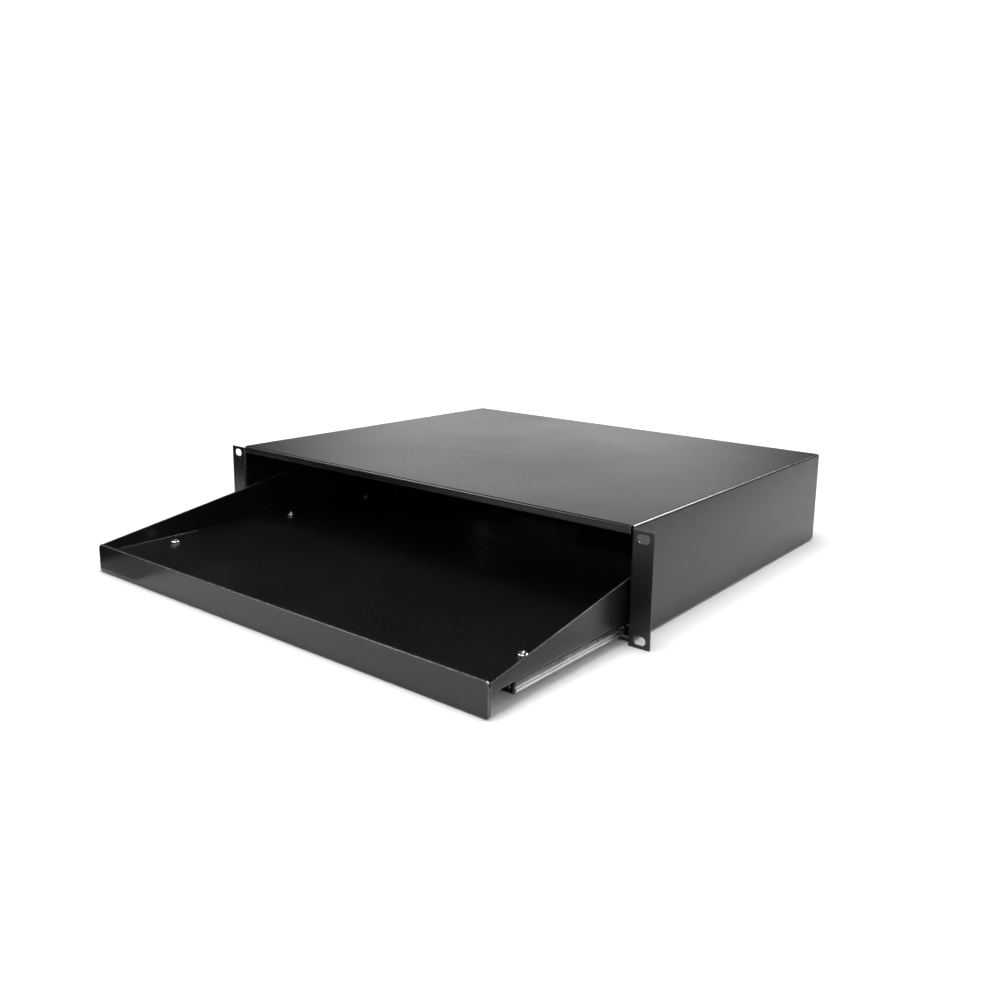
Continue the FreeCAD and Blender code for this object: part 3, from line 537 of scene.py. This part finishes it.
def pan_profile(low, high):
    """Pan head: flat bearing face, short straight side, domed top."""
    radius = (high.x - low.x) / 2
    seat = high.z - PAN_HEAD_TALL
    dome = PAN_HEAD_TALL - PAN_SIDE_TALL
    points = thread(low.z, seat) + [(radius - PAN_SEAT_EASE, seat), (radius, seat + PAN_SEAT_EASE)]
    for step in range(PAN_DOME_STEPS):
        turn = math.radians(90 * step / PAN_DOME_STEPS)
        points.append((radius * math.cos(turn) ** PAN_DOME_POWER,
                       seat + PAN_SIDE_TALL + dome * math.sin(turn)))
    return points + [(0, high.z)]


def countersunk_profile(low, high):
    """Countersunk head: cone, eased rim and flat top."""
    radius = (high.x - low.x) / 2
    cone = high.z - COUNTERSINK_TALL
    return thread(low.z, cone) + [(radius, high.z - RIM_TALL), (radius - RIM_WIDE, high.z), (0, high.z)]


def recess_cutter(centre, top, deep, turn):
    """Cross with tapering wings that cuts a screw's drive recess."""
    shape = bmesh.new()
    wall, wing = RECESS_WALL, RECESS_WING
    outline = [(wall, wall), (wall, wing), (-wall, wing), (-wall, wall), (-wing, wall), (-wing, -wall),
               (-wall, -wall), (-wall, -wing), (wall, -wing), (wall, -wall), (wing, -wall), (wing, wall)]
    spin = Matrix.Rotation(turn, 3, "Z")
    rings = []
    for height, scale in ((top + RECESS_ABOVE, RECESS_MOUTH), (top - deep, RECESS_FOOT)):
        place = Vector((centre.x, centre.y, height))
        rings.append([shape.verts.new(spin @ Vector((x * scale, y * scale, 0)) + place)
                      for x, y in outline])
    mouth, foot = rings
    shape.faces.new(mouth)
    shape.faces.new(foot[::-1])
    bridge(shape, mouth, foot)
    bmesh.ops.recalc_face_normals(shape, faces=shape.faces)
    return shape


def make_screws(node, name, profile_of, deep):
    """Screws with thread and cross recess at the places of the node's plain ones."""
    together = bmesh.new()
    for index, (low, high) in enumerate(solid_boxes(node)):
        centre = Vector(((low.x + high.x) / 2, (low.y + high.y) / 2, 0))
        shape = bmesh.new()
        turned(shape, profile_of(low, high), centre, SCREW_SIDES)
        bmesh.ops.recalc_face_normals(shape, faces=shape.faces)
        turn = math.radians(FIRST_SCREW_TURN + SCREW_TURN_STEP * index)
        cutter = recess_cutter(centre, high.z, deep, turn)
        together.from_mesh(cut(mesh_from(name, shape), cutter))
    piece = stand_in(name, mesh_from(name, together), node)
    split = piece.modifiers.new("crisp edges", "EDGE_SPLIT")
    split.split_angle = CREASE


def make_balls(node):
    """Smooth balls at the places of the node's faceted ones."""
    shape = bmesh.new()
    for low, high in solid_boxes(node):
        place = Matrix.Translation((low + high) / 2)
        bmesh.ops.create_uvsphere(shape, u_segments=BALL_SEGMENTS, v_segments=BALL_SEGMENTS // 2,
                                  radius=(high.z - low.z) / 2, matrix=place)
    stand_in(node + "_smooth", mesh_from(node + "_smooth", shape), node)


def lean_sides(shape):
    """Middle member: its sides lean in above the ball track, as rolled sides do."""
    low, high = reach(shape.verts)
    centre = (low + high) / 2
    half = (high.x - low.x) / 2
    track_top = centre.z + TRACK_HALF
    for vert in shape.verts:
        away = vert.co.x - centre.x
        if abs(away) > half - WELD and vert.co.z > track_top:
            vert.co.x -= math.copysign((vert.co.z - track_top) * SIDE_LEAN, away)
    return shape


def bare_nose(shape):
    """Drawer member: in front of the middle member only its flat web goes on under the tray."""
    low, high = reach(shape.verts)
    low -= Vector((CUT_MARGIN, CUT_MARGIN, CUT_MARGIN))
    high.x += CUT_MARGIN
    high.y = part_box("middle_trim_right")[0].y + NOSE_SETBACK
    high.z -= RAIL_SHEET
    cutter = bmesh.new()
    box = Matrix.Translation((low + high) / 2) @ Matrix.Diagonal((*(high - low), 1))
    bmesh.ops.create_cube(cutter, matrix=box)
    return welded(cut(mesh_from("member", shape), cutter))


def make_pieces():
    for node in ("case_cover", "rear_panel", "base_plate"):
        soften(node, SHEET_EDGE, wear_and_highlight=CASE_WEAR_AND_HIGHLIGHT)
    soften("tray_pan", TRAY_EDGE)
    make_fascia()
    for side in SIDES:
        for member in ("fixed_rail", "inner_cage", "outer_cage"):
            soften(f"{member}_{side}", RAIL_EDGE)
        soften(f"middle_rail_{side}", MIDDLE_RAIL_EDGE, lean_sides)
        soften(f"drawer_rail_{side}", RAIL_EDGE, bare_nose)
        for part in ("middle_trim", "rail_buffer"):
            soften(f"{part}_{side}", PLASTIC_EDGE)
        make_screws(f"tray_screws_{side}", f"pan_head_screws_{side}", pan_profile, PAN_RECESS_DEEP)
        make_screws(f"rail_screws_{side}", f"countersunk_screws_{side}", countersunk_profile,
                    COUNTERSUNK_RECESS_DEEP)
        for ring in ("inner", "outer"):
            make_balls(f"{ring}_balls_{side}")


# ---------------------------------------------------------------- surroundings

def cosine(degrees):
    return math.cos(math.radians(degrees))


def sine(degrees):
    return math.sin(math.radians(degrees))


def direction(azimuth, elevation):
    """Unit vector from angles in degrees; azimuth turns from +Y towards -X."""
    return Vector((-sine(azimuth) * cosine(elevation), cosine(azimuth) * cosine(elevation),
                   sine(elevation)))


def rectangle(name, wide, tall, height=0):
    """Mesh of a level rectangle about the vertical axis."""
    right, back = wide / 2, tall / 2
    mesh = bpy.data.meshes.new(name)
    mesh.from_pydata([(-right, -back, height), (right, -back, height),
                      (right, back, height), (-right, back, height)], [], [(0, 1, 2, 3)])
    return mesh


def matt_material(name, shade):
    """Material without gloss that glows white once its emission strength is set."""
    material, shader = new_material(name)
    shader.inputs["Base Color"].default_value = (shade, shade, shade, 1)
    shader.inputs["Specular IOR Level"].default_value = 0
    shader.inputs["Emission Color"].default_value = (1, 1, 1, 1)
    return material, shader


def make_floor():
    """Pale floor that glows away from the object, so that no horizon shows against the white surround."""
    mesh = rectangle("floor", 2 * FLOOR_HALF, 2 * FLOOR_HALF, CAD_BOX[0][2])
    material, shader = matt_material("pale floor", FLOOR_SHADE)
    tree = material.node_tree
    away = add_node(tree, "ShaderNodeVectorMath", operation="LENGTH")
    tree.links.new(add_node(tree, "ShaderNodeTexCoord").outputs["Object"], away.inputs[0])
    ring = fade(tree, away.outputs["Value"], *GLOW_RING)
    tree.links.new(arithmetic(tree, "MULTIPLY", ring, FLOOR_GLOW), shader.inputs["Emission Strength"])
    mesh.materials.append(material)
    floor = new_object("floor", mesh)


def make_camera():
    data = bpy.data.cameras.new("camera")
    data.lens = CAMERA_LENS
    data.shift_x, data.shift_y = CAMERA_SHIFT
    camera = new_object("camera", data)
    turn = (Matrix.Rotation(CAMERA_AZIMUTH, 4, "Z")
            @ Matrix.Rotation(math.pi / 2 - CAMERA_PITCH, 4, "X")
            @ Matrix.Rotation(CAMERA_ROLL, 4, "Z"))
    camera.matrix_world = Matrix.Translation(CAMERA_PLACE) @ turn
    SCENE.camera = camera


def nearness(tree, place, towards):
    """Cosine of the angle between a direction and another."""
    dot = add_node(tree, "ShaderNodeVectorMath", operation="DOT_PRODUCT")
    tree.links.new(place, dot.inputs[0])
    dot.inputs[1].default_value = towards
    return dot.outputs["Value"]


def fade_about(tree, place, towards, angles):
    """0 further than the first angle from a direction, 1 nearer than the second."""
    start, full = angles
    return fade(tree, nearness(tree, place, towards), cosine(start), cosine(full))


def studio_strength(tree):
    """Brightness of the studio by direction: a low backdrop, and dim light with a darker patch."""
    place = add_node(tree, "ShaderNodeTexCoord").outputs["Generated"]
    level = add_node(tree, "ShaderNodeVectorMath", operation="MULTIPLY")
    level.inputs[1].default_value = (1, 1, 0)
    tree.links.new(place, level.inputs[0])
    heading = add_node(tree, "ShaderNodeVectorMath", operation="NORMALIZE")
    tree.links.new(level.outputs["Vector"], heading.inputs[0])
    middle = direction(BACKDROP_AZIMUTH, 0)
    sideways = fade_about(tree, heading.outputs["Vector"], middle, BACKDROP_SIDEWAYS)
    start, full = BACKDROP_UPWARDS
    upwards = fade(tree, nearness(tree, place, (0, 0, 1)), sine(start), sine(full))
    backdrop = arithmetic(tree, "MULTIPLY", sideways, upwards)
    dark = fade_about(tree, place, direction(DARK_AZIMUTH, DARK_ELEVATION), DARK_ACROSS)
    ambient = arithmetic(tree, "MULTIPLY", arithmetic(tree, "SUBTRACT", 1.0, dark), AMBIENT_STRENGTH)
    return arithmetic(tree, "ADD", arithmetic(tree, "MULTIPLY", backdrop, BACKDROP_STRENGTH), ambient)


def make_world():
    """White all round, a little dimmer as soft light; reflections see the grey studio instead."""
    world = bpy.data.worlds.new("studio")
    SCENE.world = world
    world.use_nodes = True
    tree = world.node_tree
    path = add_node(tree, "ShaderNodeLightPath")
    white = tree.nodes["Background"]
    white.inputs["Color"].default_value = (1, 1, 1, 1)
    dimmed = arithmetic(tree, "MULTIPLY", path.outputs["Is Diffuse Ray"], DIFFUSE_DIMMING)
    tree.links.new(arithmetic(tree, "SUBTRACT", WHITE_STRENGTH, dimmed), white.inputs["Strength"])
    studio = add_node(tree, "ShaderNodeBackground")
    tree.links.new(studio_strength(tree), studio.inputs["Strength"])
    both = add_node(tree, "ShaderNodeMixShader")
    tree.links.new(path.outputs["Is Glossy Ray"], both.inputs[0])
    tree.links.new(white.outputs["Background"], both.inputs[1])
    tree.links.new(studio.outputs["Background"], both.inputs[2])
    tree.links.new(both.outputs["Shader"], tree.nodes["World Output"].inputs["Surface"])


def aim(item, place, target):
    """Puts a card or a light at its place, facing its target."""
    item.location = place
    item.rotation_euler = (Vector(target) - Vector(place)).to_track_quat("-Z", "Y").to_euler()


def make_card(name, place, target, size, strength):
    """Studio card that only reflections see: a bright one is a reflector, a grey or black one a flag."""
    mesh = rectangle(name, *size)
    material, shader = matt_material(name, 0)
    shader.inputs["Emission Strength"].default_value = strength
    mesh.materials.append(material)
    card = new_object(name, mesh)
    aim(card, place, target)
    card.visible_camera = False
    card.visible_diffuse = False
    card.visible_shadow = False


def card_towards(name, azimuth, elevation, distance, size, strength):
    """Card that faces the object from a direction."""
    make_card(name, direction(azimuth, elevation) * distance, (0, 0, 0), size, strength)


def floor_flag(name, x_range, y_range, strength, height=FLAG_HEIGHT):
    """Card that hides part of the floor from reflections."""
    (left, right), (front, back) = x_range, y_range
    x, y = (left + right) / 2, (front + back) / 2
    make_card(name, (x, y, height), (x, y, BELOW), (right - left, back - front), strength)


def make_overhead_light():
    """Soft light from above that reflections don't see."""
    data = bpy.data.lights.new("overhead", "AREA")
    data.shape = "SQUARE"
    data.size = OVERHEAD_SIZE
    data.energy = OVERHEAD_WATTS
    light = new_object("overhead", data)
    aim(light, place=(0.1, -0.1, 1.8), target=(0.1, -0.1, 0))
    light.visible_glossy = False


def make_studio():
    """Places are in metres; each card puts one light or dark area on the glossy faces."""
    make_world()
    make_overhead_light()
    make_card("rim_reflector", place=(0.62, 1.45, 1.25), target=(0.22, 0.18, 0.05),
              size=(1.1, 0.7), strength=24)
    card_towards("left_reflector", azimuth=118, elevation=44, distance=1.6, size=(0.6, 0.6), strength=11)
    card_towards("front_reflector", azimuth=205, elevation=58, distance=1.5, size=(1.2, 0.8), strength=8)
    floor_flag("far_left_flag", (-2.22, -0.42), (FLAGS_FRONT, 0.4), strength=0)
    floor_flag("near_left_flag", (-0.42, -0.24), (FLAGS_FRONT, TRAY_FLAGS_BACK), strength=0.02)
    floor_flag("half_tone_flag", (-0.24, -0.17), (FLAGS_FRONT, TRAY_FLAGS_BACK), strength=0.38)
    floor_flag("right_flag", (0.36, 1.36), (-0.6, 1.6), strength=0.72)
    floor_flag("tray_side_flag", (0.243, 0.337), (-0.16, 0.0), strength=0.7, height=SIDE_FLAG_HEIGHT)
    # Near-black flag just behind the opening above the rear panel, seen only in reflections: it puts
    # shade into the reflections inside the case
    make_card("rear_flag", place=(0, 0.362, 0.0328), target=(0, 0, 0.0328),
              size=(0.444, 0.0245), strength=0.01)
    SCENE.view_settings.view_transform = "Standard"


make_pieces()
make_floor()
make_camera()
make_studio()
